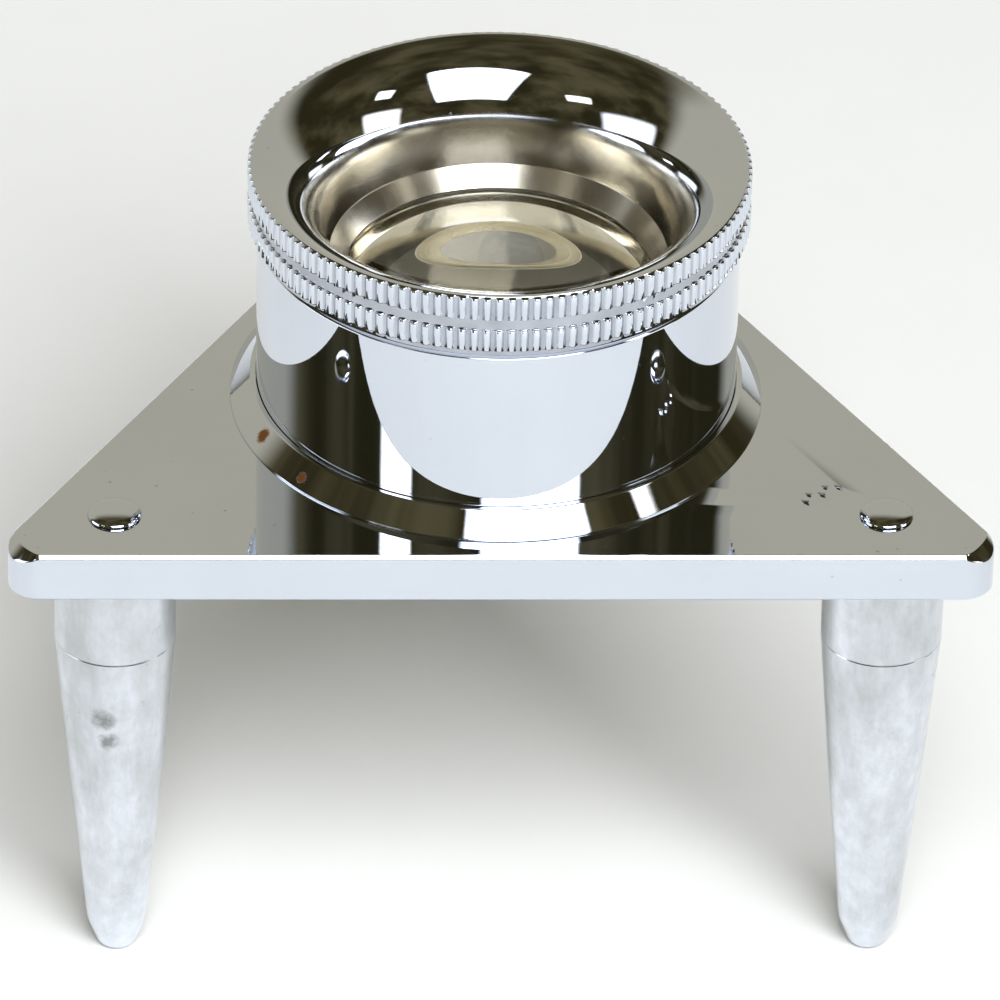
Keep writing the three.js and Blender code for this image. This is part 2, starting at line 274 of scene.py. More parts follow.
class Tree:
    """A small helper that adds nodes to a material and links them."""

    def __init__(self, name):
        self.material = bpy.data.materials.new(name)
        self.material.use_nodes = True
        self.nodes = self.material.node_tree.nodes
        self.links = self.material.node_tree.links
        self.shader = self.nodes["Principled BSDF"]
        coordinates = self.nodes.new("ShaderNodeTexCoord")
        self.place = coordinates.outputs["Object"]

    def put(self, value, socket):
        if isinstance(value, bpy.types.NodeSocket):
            self.links.new(value, socket)
        elif isinstance(value, tuple) and len(value) == 3 and socket.type == "RGBA":
            socket.default_value = (*value, 1.0)
        else:
            socket.default_value = value

    def set(self, **inputs):
        for name, value in inputs.items():
            self.put(value, self.shader.inputs[name.replace("_", " ")])

    def noise(self, scale, detail=2.0, roughness=0.5, stretch=(1, 1, 1), distortion=0.0):
        mapping = self.nodes.new("ShaderNodeMapping")
        mapping.inputs["Scale"].default_value = stretch
        self.links.new(self.place, mapping.inputs["Vector"])
        node = self.nodes.new("ShaderNodeTexNoise")
        node.inputs["Scale"].default_value = scale
        node.inputs["Detail"].default_value = detail
        node.inputs["Roughness"].default_value = roughness
        node.inputs["Distortion"].default_value = distortion
        self.links.new(mapping.outputs["Vector"], node.inputs["Vector"])
        return node.outputs["Fac"]

    def cells(self, scale, stretch=(1, 1, 1)):
        mapping = self.nodes.new("ShaderNodeMapping")
        mapping.inputs["Scale"].default_value = stretch
        self.links.new(self.place, mapping.inputs["Vector"])
        node = self.nodes.new("ShaderNodeTexVoronoi")
        node.inputs["Scale"].default_value = scale
        self.links.new(mapping.outputs["Vector"], node.inputs["Vector"])
        return node.outputs["Distance"]

    def span(self, value, low, high, out_low=0.0, out_high=1.0):
        node = self.nodes.new("ShaderNodeMapRange")
        node.inputs["From Min"].default_value = low
        node.inputs["From Max"].default_value = high
        node.inputs["To Min"].default_value = out_low
        node.inputs["To Max"].default_value = out_high
        self.links.new(value, node.inputs["Value"])
        return node.outputs["Result"]

    def math(self, operation, first, second):
        node = self.nodes.new("ShaderNodeMath")
        node.operation = operation
        self.put(first, node.inputs[0])
        self.put(second, node.inputs[1])
        return node.outputs["Value"]

    def mix(self, factor, first, second):
        node = self.nodes.new("ShaderNodeMix")
        node.data_type = "RGBA"
        self.put(factor, node.inputs["Factor"])
        self.put(first, node.inputs[6])
        self.put(second, node.inputs[7])
        return node.outputs[2]

    def near(self, centre, low, high):
        """1 at a point given in millimetres, falling to 0 between two distances."""
        node = self.nodes.new("ShaderNodeVectorMath")
        node.operation = "DISTANCE"
        self.links.new(self.place, node.inputs[0])
        node.inputs[1].default_value = Vector(centre) * MM
        return self.span(node.outputs["Value"], low * MM, high * MM, 1.0, 0.0)

    def place_on_axis(self):
        """Distance from the optical axis and height above the ground, in metres."""
        apart = self.nodes.new("ShaderNodeSeparateXYZ")
        self.links.new(self.place, apart.inputs[0])
        x = self.math("SUBTRACT", apart.outputs[0], AXIS.x * MM)
        y = self.math("SUBTRACT", apart.outputs[1], AXIS.y * MM)
        squares = self.math("ADD", self.math("MULTIPLY", x, x), self.math("MULTIPLY", y, y))
        return self.math("SQRT", squares, 0.0), apart.outputs[2]

    def inside(self, radius, height, blur=0.05):
        """1 within a radius of the axis and below a height, both in millimetres."""
        out, up = self.place_on_axis()
        within = self.span(out, (radius - blur) * MM, (radius + blur) * MM, 1.0, 0.0)
        below = self.span(up, (height - blur) * MM, (height + blur) * MM, 1.0, 0.0)
        return self.math("MULTIPLY", within, below)

    def outside(self, radius):
        """1 beyond a radius of the axis, in millimetres."""
        out, _ = self.place_on_axis()
        return self.span(out, (radius - 0.05) * MM, (radius + 0.05) * MM)

    def bump(self, height, strength, distance, normal=None):
        node = self.nodes.new("ShaderNodeBump")
        node.inputs["Strength"].default_value = strength
        node.inputs["Distance"].default_value = distance * MM
        self.links.new(height, node.inputs["Height"])
        if normal is not None:
            self.links.new(normal, node.inputs["Normal"])
        return node.outputs["Normal"]


def chrome_material(name, tarnish_spots=(), satin=None, bare=None, darkening_limits=None):
    """Bright plating: faint rubs and pin-head specks, and brown spots where it has failed.

    satin and bare are (radius, height) limits, inside which the plating was left
    unpolished, or which it didn't reach, so that dull brass shows. The last argument is a
    radius and two heights: between those heights, the outside just inside that radius is
    darker in patches, so on a knurl the flutes and plain bands darken and the crests don't.
    """
    tree = Tree(name)
    rubs = tree.noise(900, 3, 0.6, (1, 1, 0.08))
    specks = tree.span(tree.cells(520), 0.02, 0.09, 1.0, 0.0)
    haze = tree.noise(70, 4, 0.6)
    speck_patch = tree.span(tree.noise(120, 2), 0.5, 0.62)
    specks = tree.math("MULTIPLY", specks, speck_patch)
    faded = tuple(0.95 * c for c in CHROME_TINT)
    speck_brown = (0.16, 0.13, 0.09)
    tarnish_brown = (0.28, 0.12, 0.035)
    colour = tree.mix(tree.span(haze, 0.35, 0.75), CHROME_TINT, faded)
    colour = tree.mix(tree.math("MULTIPLY", specks, 0.55), colour, speck_brown)
    rough = tree.span(rubs, 0.45, 0.8, 0.018, 0.05)
    rough = tree.math("ADD", rough, tree.span(haze, 0.5, 0.8, 0.0, 0.03))
    rough = tree.math("ADD", rough, tree.math("MULTIPLY", specks, 0.35))
    for centre, size in tarnish_spots:
        spot = tree.near(centre, size * 0.25, size)
        spot = tree.span(tree.math("MULTIPLY", spot, tree.noise(1500, 3, 0.7)), 0.22, 0.42)
        colour = tree.mix(spot, colour, tarnish_brown)
        rough = tree.math("ADD", rough, tree.math("MULTIPLY", spot, 0.3))
    if satin:
        dulled = tree.inside(*satin, blur=0.8)
        colour = tree.mix(dulled, colour, NICKEL_TINT)
        rough = tree.math("ADD", rough, tree.math("MULTIPLY", dulled, 0.18))
    if darkening_limits:
        # Darker in patches just inside the radius: on a knurl, the flutes and plain bands, not
        # the crests.
        radius, low, high = darkening_limits
        darkening = tree.math("SUBTRACT", tree.inside(radius, high), tree.inside(radius, low))
        darkening = tree.math("MULTIPLY", darkening, tree.outside(radius - 0.3))
        darkening = tree.math("MULTIPLY", darkening, tree.span(tree.noise(500, 3), 0.2, 0.7, 0.5, 1.0))
        colour = tree.mix(darkening, colour, tuple(0.6 * c for c in CHROME_TINT))
    if bare:
        unplated = tree.inside(*bare)
        patina = tree.span(tree.noise(300, 4, 0.6), 0.35, 0.7)
        colour = tree.mix(unplated, colour, tree.mix(patina, CELL_TINT, CELL_PATINA))
        rough = tree.math("ADD", rough, tree.math("MULTIPLY", unplated, 0.27))
    normal = tree.bump(tree.noise(110, 1.5), 1.0, 0.0015)
    normal = tree.bump(tree.math("SUBTRACT", rubs, specks), 0.12, 0.01, normal)
    tree.set(Metallic=1.0, Base_Color=colour, Roughness=rough, Normal=normal)
    return tree.material


def aluminium_material(name, smudges):
    """Turned bare aluminium with a fine grain, faint stains, a few dark smudges, and painted
    shade from the plate towards its top.
    """
    tree = Tree(name)
    tool_lines = tree.noise(2600, 1, 0.5, (0.03, 0.03, 1))
    mottle = tree.noise(650, 5, 0.7)
    stain = tree.noise(420, 6, 0.7, (1, 1, 0.7))
    pits = tree.span(tree.cells(1300), 0.02, 0.15, 1.0, 0.0)
    pit_patch = tree.span(tree.noise(300, 3), 0.54, 0.64)
    pits = tree.math("MULTIPLY", pits, pit_patch)
    # The leg is dulled in upright streaks, and painted darker towards its top as shade from
    # the plate above it.
    streaks = tree.noise(260, 5, 0.7, (1, 1, 0.35))
    _, up = tree.place_on_axis()
    shade_under_plate = tree.span(up, 8 * MM, PLATE_BOTTOM * MM)
    dull = tree.math("ADD", streaks, tree.math("MULTIPLY", shade_under_plate, 0.16))
    dull = tree.span(dull, 0.42, 0.75)
    colour = tree.mix(tree.span(mottle, 0.35, 0.65), (0.82, 0.86, 0.94), (0.70, 0.74, 0.80))
    colour = tree.mix(tree.math("MULTIPLY", dull, 0.75), colour, (0.47, 0.49, 0.50))
    colour = tree.mix(tree.span(stain, 0.5, 0.75, 0.0, 0.4), colour, (0.50, 0.53, 0.55))
    colour = tree.mix(tree.math("MULTIPLY", pits, 0.5), colour, (0.3, 0.31, 0.31))
    rough = tree.span(mottle, 0.3, 0.7, 0.17, 0.26)
    rough = tree.math("ADD", rough, tree.span(stain, 0.5, 0.8, 0.0, 0.08))
    for centre, size in smudges:
        reach = tree.near(centre, size * 0.1, size * 1.4)
        smudge = tree.math("MULTIPLY", reach, tree.noise(1100, 6, 0.8))
        smudge = tree.span(smudge, 0.2, 0.42, 0.0, 0.8)
        colour = tree.mix(smudge, colour, (0.2, 0.21, 0.21))
    normal = tree.bump(tool_lines, 0.3, 0.02)
    normal = tree.bump(mottle, 0.3, 0.02, normal)
    normal = tree.bump(tree.math("SUBTRACT", 1.0, pits), 0.5, 0.02, normal)
    tree.set(Metallic=1.0, Base_Color=colour, Roughness=rough, Normal=normal)
    return tree.material


def brass_material(name, tint, patina, low_rough, high_rough, grain):
    """Unplated turned brass, dulled in places, with tool lines round it."""
    tree = Tree(name)
    tool_lines = tree.noise(2200, 1, 0.5, (0.03, 0.03, 1))
    dull = tree.noise(300, 4, 0.6)
    tree.set(
        Metallic=1.0,
        Base_Color=tree.mix(tree.span(dull, 0.35, 0.7), tint, patina),
        Roughness=tree.span(dull, 0.3, 0.7, low_rough, high_rough),
        Normal=tree.bump(tool_lines, grain, 0.02),
    )
    return tree.material


def glass_material(name):
    """Polished lens glass with a breath of dust on it."""
    tree = Tree(name)
    dust = tree.span(tree.cells(1300), 0.03, 0.08, 1.0, 0.0)
    patch = tree.span(tree.noise(200, 3), 0.52, 0.7)
    film = tree.span(tree.noise(150, 4), 0.5, 0.8, 0.0, 0.02)
    dust = tree.math("MULTIPLY", dust, patch)
    rough = tree.math("ADD", film, tree.math("MULTIPLY", dust, 0.12))
    tree.set(Base_Color=(0.985, 0.98, 0.94), Roughness=rough, IOR=1.52)
    tree.shader.inputs["Transmission Weight"].default_value = 1.0
    return tree.material


CHROME_TINT = (0.69, 0.735, 0.825)
NICKEL_TINT = (0.61, 0.575, 0.49)
BRASS_TINT = (0.66, 0.58, 0.40)
BRASS_PATINA = (0.46, 0.39, 0.25)
CELL_TINT = (0.76, 0.71, 0.60)
CELL_PATINA = (0.60, 0.54, 0.42)

# Places and sizes of the brown spots on the collar and of the smudges on a leg.
collar_spots = [
    ((AXIS.x - 17.6, AXIS.y - 7.6, PLATE_TOP + 1.2), 1.1),
    ((AXIS.x - 14.6, AXIS.y - 12.6, PLATE_TOP + 0.6), 0.9),
]
leg_low, leg_high = box_mm("leg_front_left")
smudge_at = Vector(((leg_low.x + leg_high.x) / 2 - 0.9, leg_low.y + 0.5, leg_high.z - 11.8))
leg_smudges = [(smudge_at, 1.3), (smudge_at + Vector((0.4, 0, -2.0)), 1.1)]

chrome = chrome_material("chrome")
collar_chrome = chrome_material("collar_chrome", collar_spots)
barrel_chrome = chrome_material("barrel_chrome", bare=(17.1, BARREL_TOP - 0.1))
eyecup_chrome = chrome_material(
    "eyecup_chrome",
    satin=(14.8, RIM_TOP - 4.4),
    bare=(13.2, LENS_SEAT + 0.05),
    darkening_limits=(KNURL_RADIUS - 0.18, BARREL_TOP, RIM_TOP - 0.15),
)
aluminium = aluminium_material("aluminium", leg_smudges)
brass = brass_material("brass", BRASS_TINT, BRASS_PATINA, 0.22, 0.4, 0.3)
cell_brass = brass_material("cell_brass", CELL_TINT, CELL_PATINA, 0.07, 0.14, 0.03)
glass = glass_material("glass")

# ---- Base plate ----

BEVEL = 0.27
# How far the bevel's top edge is drawn in at the middle of a corner.
CORNER_CUT = 0.6
# How much deeper the bevel is at the middle of a corner, as a share of its depth.
CORNER_DEPTH = 2.4
CORNER_RADIUS = 2.3
# A corner arc runs this far to each side of its middle.
HALF_ARC = math.radians(60)
ARC_STEPS = 16
# The width of the flat ring between the bevel and the cap.
CAP_INSET = 0.8
# How far past the ends of a corner arc its guard points lie.
GUARD = 0.1
HOLE_COLUMNS = 48
CORNER_ANGLES = {"rear": 90, "front_left": 210, "front_right": 330}
plate_inradius = AXIS.y - plate_low.y
plate_circumradius = 2 * plate_inradius


def corner_shares():
    """For each point of the plate's outline, how near it is to the middle of a corner."""
    arc = [math.cos(math.radians(90) * (2 * i / ARC_STEPS - 1)) for i in range(ARC_STEPS + 1)]
    return [0.0, *arc, 0.0] * len(CORNER_ANGLES)


def plate_outline(inset, corner_cut=0.0):
    """Points round the rounded triangle, with guard points beside each corner arc.

    corner_cut draws the middle of each arc in towards the axis.
    """
    radius = CORNER_RADIUS - inset
    points = []
    for degrees in CORNER_ANGLES.values():
        middle = math.radians(degrees)
        toward = Vector((math.cos(middle), math.sin(middle)))
        centre = AXIS + toward * (plate_circumradius - 2 * CORNER_RADIUS)
        corner = []
        for step in range(ARC_STEPS + 1):
            angle = middle + HALF_ARC * (2 * step / ARC_STEPS - 1)
            drawn_in = corner_cut * math.cos(1.5 * (angle - middle))
            around = Vector((math.cos(angle), math.sin(angle)))
            corner.append(centre + radius * around - drawn_in * toward)
        first, last = middle - HALF_ARC, middle + HALF_ARC
        along_in = Vector((-math.sin(first), math.cos(first)))
        along_out = Vector((-math.sin(last), math.cos(last)))
        points += [corner[0] - GUARD * along_in, *corner, corner[-1] + GUARD * along_out]
    return points


def circle_points(centre, radius, count):
    return [
        centre + radius * Vector((math.cos(angle), math.sin(angle)))
        for angle in even_angles(count)
    ]


def inside(point, loop):
    """True if a point is on the left of every side of a loop that runs anticlockwise.

    The test is exact only for a convex loop. The top cap's outline is slightly hollow
    beside the front corners, and the cap has three pinholes there.
    """
    for index, corner in enumerate(loop):
        after = loop[(index + 1) % len(loop)]
        if (after - corner).cross(point - corner) < 0:
            return False
    return True


def add_cap(mesh, height, outer, holes):
    """Fills the flat face between an outline and its holes."""
    loops = [outer, *holes]
    flat = [point for loop in loops for point in loop]
    edges = []
    start = 0
    for loop in loops:
        count = len(loop)
        edges += [(start + i, start + (i + 1) % count) for i in range(count)]
        start += count
    points, _, faces, _, _, _ = delaunay_2d_cdt(flat, edges, [], 0, 1e-6)
    verts = [mesh.verts.new(Vector((p.x, p.y, height)) * MM) for p in points]
    for face in faces:
        middle = sum((points[i] for i in face), Vector((0, 0))) / len(face)
        if inside(middle, outer) and not any(inside(middle, hole) for hole in holes):
            mesh.faces.new([verts[i] for i in face])


def add_walls(mesh, loop, low, high):
    lower = add_ring(mesh, [Vector((p.x, p.y, low)) for p in loop])
    upper = add_ring(mesh, [Vector((p.x, p.y, high)) for p in loop])
    join_rings(mesh, lower, upper)


STAMP_PLACE = AXIS + Vector((23.7, -13.6))
STAMP_SLANT = math.radians(38)
STAMP_COUNT = 5
STAMP_STEP = 0.8
STAMP_DEPTH = 0.2
LOZENGE_HALF_WIDTH = 0.3


def stamp_loops():
    """A generic punched mark: slanting, staggered lozenges, tall and short in turn."""
    middle = STAMP_PLACE
    along = Vector((math.cos(STAMP_SLANT), math.sin(STAMP_SLANT)))
    across = Vector((-along.y, along.x))
    loops = []
    for index in range(STAMP_COUNT):
        centre = middle + along * (index - 2) * STAMP_STEP
        centre += across * (0.35 if index % 2 else -0.25)
        tall = 0.5 if index % 2 else 0.7
        loops.append(
            [
                centre + along * LOZENGE_HALF_WIDTH,
                centre + across * tall,
                centre - along * LOZENGE_HALF_WIDTH,
                centre - across * tall,
            ]
        )
    return loops


def make_plate():
    mesh = bmesh.new()
    edge_profile = soften(
        [
            (BEVEL + CAP_INSET, PLATE_BOTTOM, 0),
            (BEVEL, PLATE_BOTTOM, 0.12),
            (0, PLATE_BOTTOM + BEVEL, 0.12),
            (0, PLATE_TOP - BEVEL, 0.2),
            (BEVEL, PLATE_TOP, 0.08),
            (BEVEL + CAP_INSET, PLATE_TOP, 0),
        ]
    )
    rings = []
    for inset, height in edge_profile:
        depth = PLATE_TOP - height
        outline = plate_outline(inset, CORNER_CUT * max(1 - depth / BEVEL, 0))
        deeper = CORNER_DEPTH if depth < PLATE_THICKNESS / 2 else 0
        points = [
            Vector((p.x, p.y, PLATE_TOP - depth * (1 + deeper * share)))
            for p, share in zip(outline, corner_shares())
        ]
        rings.append(add_ring(mesh, points))
    for lower, upper in zip(rings, rings[1:]):
        join_rings(mesh, lower, upper)
    bore = circle_points(AXIS, SPIGOT_RADIUS + FIT, COLUMNS)
    holes = [bore]
    for corner in CORNER_ANGLES:
        holes.append(circle_points(corner_place(corner), SHANK_RADIUS + FIT, HOLE_COLUMNS))
    stamps = stamp_loops()
    cap_outline = plate_outline(BEVEL + CAP_INSET, CORNER_CUT)
    add_cap(mesh, PLATE_TOP, cap_outline, holes + stamps)
    add_cap(mesh, PLATE_BOTTOM, plate_outline(BEVEL + CAP_INSET), holes)
    for hole in holes:
        add_walls(mesh, hole, PLATE_BOTTOM, PLATE_TOP)
    for loop in stamps:
        middle = sum(loop, Vector((0, 0))) / len(loop)
        floor = mesh.verts.new(Vector((middle.x, middle.y, PLATE_TOP - STAMP_DEPTH)) * MM)
        rim = add_ring(mesh, [Vector((p.x, p.y, PLATE_TOP)) for p in loop])
        for index in range(len(rim)):
            mesh.faces.new((rim[index], rim[(index + 1) % len(rim)], floor))
    finish_piece("plate", mesh, "stand", ["base_plate"], chrome)


# ---- Legs and rivets ----


def corner_place(corner):
    low, high = box_mm(f"leg_{corner}")
    return Vector(((low.x + high.x) / 2, (low.y + high.y) / 2))


LEG_FOOT_RADIUS = 1.4
# Radius and height of the rounded shoulder above the foot.
LEG_TIP = (2.25, 2.4)
LEG_SEAM_DEPTH = 6.5
LEG_HOLE_DEPTH = 8.3
LEG_COLUMNS = 96
RIVET_COLUMNS = 72
RIVET_DOME_STEPS = 24
# The upright foot of a rivet's dome.
RIVET_FOOT = 0.06


def make_leg(corner):
    low, high = box_mm(f"leg_{corner}")
    top = high.z
    radius = (high.x - low.x) / 2
    hole = SHANK_RADIUS + FIT
    hole_bottom = top - LEG_HOLE_DEPTH
    seam = top - LEG_SEAM_DEPTH
    seam_radius = radius - 0.05
    tip_radius, tip_height = LEG_TIP
    middle = (tip_radius + seam_radius) / 2 + 0.08
    profile = soften(
        [
            (0, 0, 0),
            (LEG_FOOT_RADIUS, 0, 0.9),
            (tip_radius, tip_height, 2.6),
            (middle, (tip_height + seam) / 2, 90),
            (seam_radius, seam - 0.1, 0.06),
            (seam_radius - 0.05, seam, 0.05),
            (seam_radius, seam + 0.1, 0.06),
            (radius, top - 0.25, 0.15),
            (radius - 0.2, top, 0.1),
            (hole, top, 0),
            (hole, hole_bottom, 0),
            (0, hole_bottom, 0),
        ],
        steps=6,
    )
    turned_piece(
        f"{corner}_leg",
        profile,
        "stand",
        f"leg_{corner}",
        aluminium,
        columns=LEG_COLUMNS,
        centre=corner_place(corner),
    )


def make_rivet(corner):
    low, high = box_mm(f"rivet_{corner}")
    head = (high.x - low.x) / 2
    crown = high.z - PLATE_TOP
    profile = [(0, low.z), (SHANK_RADIUS - 0.2, low.z), (SHANK_RADIUS, low.z + 0.2)]
    profile += [(SHANK_RADIUS, PLATE_TOP), (head - 0.12, PLATE_TOP)]
    for step in range(RIVET_DOME_STEPS + 1):
        angle = math.radians(90) * step / RIVET_DOME_STEPS
        rise = math.sin(angle) ** 0.8
        height = PLATE_TOP + RIVET_FOOT + (crown - RIVET_FOOT) * rise
        profile.append((head * math.cos(angle), height))
    profile[-1] = (0, high.z)
    turned_piece(
        f"{corner}_rivet",
        profile,
        "stand",
        f"rivet_{corner}",
        chrome,
        columns=RIVET_COLUMNS,
        centre=corner_place(corner),
    )


# ---- Barrel, collar and lock ring ----

BORE_RADIUS = 16.6
THREAD_PITCH = 1.0
THREAD_DEPTH = 0.35
# The top and bottom of the barrel's thread, down from its mouth.
BARREL_THREAD = (0.8, 12.2)


def make_barrel():
    low, high = box_mm("barrel")
    thread_top, thread_bottom = (high.z - down for down in BARREL_THREAD)
    root = BORE_RADIUS + THREAD_DEPTH
    mesh = bmesh.new()
    outline = soften(
        [
            (root, thread_bottom, 0),
            (BORE_RADIUS, thread_bottom - 0.3, FINE_EDGE),
            (BORE_RADIUS, low.z, 0.15),
            (SPIGOT_RADIUS, low.z, 0.15),
            (SPIGOT_RADIUS, PLATE_TOP, 0.0),
            (BARREL_RADIUS, PLATE_TOP, FINE_EDGE),
            (BARREL_RADIUS, high.z - 0.3, FINE_EDGE),
            (BARREL_RADIUS - 0.3, high.z, FINE_EDGE),
            (root, high.z, FINE_EDGE),
            (root, thread_top, 0),
        ]
    )
    add_lathe(mesh, outline, even_angles())
    add_thread(mesh, root, THREAD_DEPTH, THREAD_PITCH, thread_bottom, thread_top)
    finish_piece("barrel_tube", mesh, "stand", ["barrel"], barrel_chrome)


def make_collar():
    low, high = box_mm("barrel_collar")
    base = (high.x - low.x) / 2
    bore = BARREL_RADIUS + FIT
    profile = soften(
        [
            (bore, low.z, 0.02),
            (base - 0.05, low.z, 0.02),
            (base, low.z + 0.1, 0.05),
            (bore + 0.42, high.z - 0.05, 0.08),
            (bore + 0.34, high.z, 0.05),
            (bore, high.z, 0.03),
        ],
        closed=True,
    )
    turned_piece("collar", profile, "stand", "barrel_collar", collar_chrome)


def make_lock_ring():
    low, high = box_mm("barrel_lock_ring")
    radius = (high.x - low.x) / 2
    bore = SPIGOT_RADIUS + FIT
    notches = 4
    notch_depth = 0.9
    notch_reach = 5
    sector = COLUMNS // notches
    angles = even_angles()
    mesh = bmesh.new()

    def depth(column):
        """A notch's depth, at up to notch_reach columns from the middle of its sector."""
        away = min((column - sector // 2) % sector, -(column - sector // 2) % sector)
        return notch_depth if away <= notch_reach else 0.0

    profile = soften(
        [
            (radius, low.z, 0.15),
            (radius, high.z, 0.05),
            (bore, high.z, 0.05),
            (bore, low.z, 0.12),
        ],
        closed=True,
    )
    rings = []
    for out, height in profile:
        points = []
        for column, angle in enumerate(angles):
            held = min(out, radius - depth(column))
            points += ring_points(held, height, [angle])
        rings.append(add_ring(mesh, points))
    for lower, upper in zip(rings, rings[1:] + rings[:1]):
        join_rings(mesh, lower, upper)
    finish_piece("lock_ring", mesh, "stand", ["barrel_lock_ring"], brass)


# ---- Eyepiece: eyecup, knurling and threaded skirt ----

TEETH = 128
# Across one tooth: how far round it, and the share of the flute's depth there.
FLUTE_SHAPE = [
    (0.0, 1.0),
    (0.12, 0.88),
    (0.23, 0.5),
    (0.3, 0.12),
    (0.37, 0.0),
    (0.63, 0.0),
    (0.7, 0.12),
    (0.77, 0.5),
    (0.88, 0.88),
]
FLUTE_DEPTH = 0.28
# In from the end of a tooth: the distance, and the share of its height there.
TOOTH_END = [(0.0, 0.0), (0.02, 0.45), (0.07, 0.8), (0.16, 1.0)]
SKIRT_RADIUS = 16.5
CELL_RADIUS = 12.55
RELIEF_LENGTH = 1.2
RELIEF_DEPTH = 0.5
SKIRT_CHAMFER = 0.4
# The heights of both ends of each row of teeth.
LOWER_TEETH = (BARREL_TOP + 0.75, BARREL_TOP + 2.6)
UPPER_TEETH = (BARREL_TOP + 3.43, RIM_TOP - 0.06)


def knurl_angles():
    return [
        TURN * (tooth + fraction) / TEETH
        for tooth in range(TEETH)
        for fraction, _ in FLUTE_SHAPE
    ]


def knurl_rows():
    """(radius, height, flute depth) up the outside of the eyecup, from its underside.

    The flutes are as deep as the teeth stand out from the plain bands, so they run out
    into the bands at both ends.
    """
    base = BARREL_TOP + EYEPIECE_GAP
    root = KNURL_RADIUS - FLUTE_DEPTH
    rows = [(root - 0.2, base, 0.0), (root - 0.04, base + 0.05, 0.0), (root, base + 0.14, 0.0)]
    for low, high in (LOWER_TEETH, UPPER_TEETH):
        for inward, share in TOOTH_END:
            rise = share * FLUTE_DEPTH
            rows.append((root + rise, low + inward, rise))
        for inward, share in reversed(TOOTH_END):
            rise = share * FLUTE_DEPTH
            rows.append((root + rise, high - inward, rise))
    rows += [(root - 0.06, RIM_TOP, 0.0), (root - 0.2, RIM_TOP, 0.0)]
    return rows


# From the crests of the teeth in to the start of the bowl.
RIM_LAND = 0.6
BOWL_LIP_SLOPE = math.radians(17)
BOWL_WALL_SLOPE = math.radians(78)
BOWL_ROLL_RADIUS = 7.08
BOWL_STEPS = 56
BOWL_FOOT = RIM_TOP - 8.1
SEAT_SLOPE = math.radians(50)
SEAT_RADIUS = 11.45


def bowl_profile():
    """From the rim's land over the lip, down the steep wall and in under the lens seat.

    The lip is an arc, whose centre lies in the metal, and the wall runs on from it. A
    bevelled lip at the foot of the wall holds the lenses in.
    """
    rim = KNURL_RADIUS - RIM_LAND
    centre = Vector((rim, RIM_TOP)) + BOWL_ROLL_RADIUS * Vector(
        (math.sin(BOWL_LIP_SLOPE), -math.cos(BOWL_LIP_SLOPE))
    )
    points = []
    for step in range(BOWL_STEPS + 1):
        slope = BOWL_LIP_SLOPE + (BOWL_WALL_SLOPE - BOWL_LIP_SLOPE) * step / BOWL_STEPS
        toward = Vector((-math.sin(slope), math.cos(slope)))
        points.append(centre + BOWL_ROLL_RADIUS * toward)
    end = points.pop()
    foot_radius = end.x - (end.y - BOWL_FOOT) / math.tan(BOWL_WALL_SLOPE)
    seat_foot = BOWL_FOOT - (foot_radius - SEAT_RADIUS) * math.tan(SEAT_SLOPE)
    seat = soften(
        [
            (end.x, end.y, 0),
            (foot_radius, BOWL_FOOT, 0.1),
            (SEAT_RADIUS, seat_foot, 0.03),
            (SEAT_RADIUS, LENS_SEAT, 0.02),
            (CELL_RADIUS, LENS_SEAT, 0),
        ],
        guard=0.03,
    )
    return [(point.x, point.y) for point in points] + seat


def make_eyecup():
    low, high = box_mm("eyecup")
    base = BARREL_TOP + EYEPIECE_GAP
    thread_top = base - RELIEF_LENGTH
    thread_bottom = low.z + SKIRT_CHAMFER
    mesh = bmesh.new()
    fine = knurl_angles()
    cuts = [cut for _ in range(TEETH) for _, cut in FLUTE_SHAPE]
    rings = []
    for radius, height, depth in knurl_rows():
        points = []
        for angle, cut in zip(fine, cuts):
            points += ring_points(radius - depth * cut, height, [angle])
        rings.append(add_ring(mesh, points))
    for lower, upper in zip(rings, rings[1:]):
        join_rings(mesh, lower, upper)
    coarse = even_angles()
    bowl = bowl_profile()
    cell = soften(
        [
            (CELL_RADIUS, bowl[-1][1], 0),
            (CELL_RADIUS, low.z + SKIRT_CHAMFER, FINE_EDGE),
            (CELL_RADIUS + SKIRT_CHAMFER, low.z, FINE_EDGE),
            (SKIRT_RADIUS - SKIRT_CHAMFER, low.z, FINE_EDGE),
            (SKIRT_RADIUS, thread_bottom, 0),
        ]
    )
    first, last = add_lathe(mesh, bowl[:-1] + cell, coarse)
    join_sectors(mesh, rings[-1], first, TEETH)
    add_thread(mesh, SKIRT_RADIUS, THREAD_DEPTH, THREAD_PITCH, thread_bottom, thread_top)
    relief = soften(
        [
            (SKIRT_RADIUS, thread_top, 0),
            (SKIRT_RADIUS - RELIEF_DEPTH, thread_top + 0.25, 0.1),
            (SKIRT_RADIUS - RELIEF_DEPTH, base, 0),
            (SKIRT_RADIUS + 0.2, base, 0),
        ]
    )
    _, under = add_lathe(mesh, relief, coarse)
    join_sectors(mesh, rings[0], under, TEETH)
    finish_piece("eyecup_shell", mesh, "eyepiece", ["eyecup"], eyecup_chrome)


# ---- Lenses and the rings that hold them ----

# The radius of each lens's curved face.
LENS_CURVATURE = {"upper_lens": 26, "lower_lens": 30}
LENS_BEVEL = 0.12
LENS_STEPS = 40
LENS_COLUMNS = 192


def lens_sag(node, radius):
    curvature = LENS_CURVATURE[node]
    return curvature - math.sqrt(curvature**2 - radius**2)


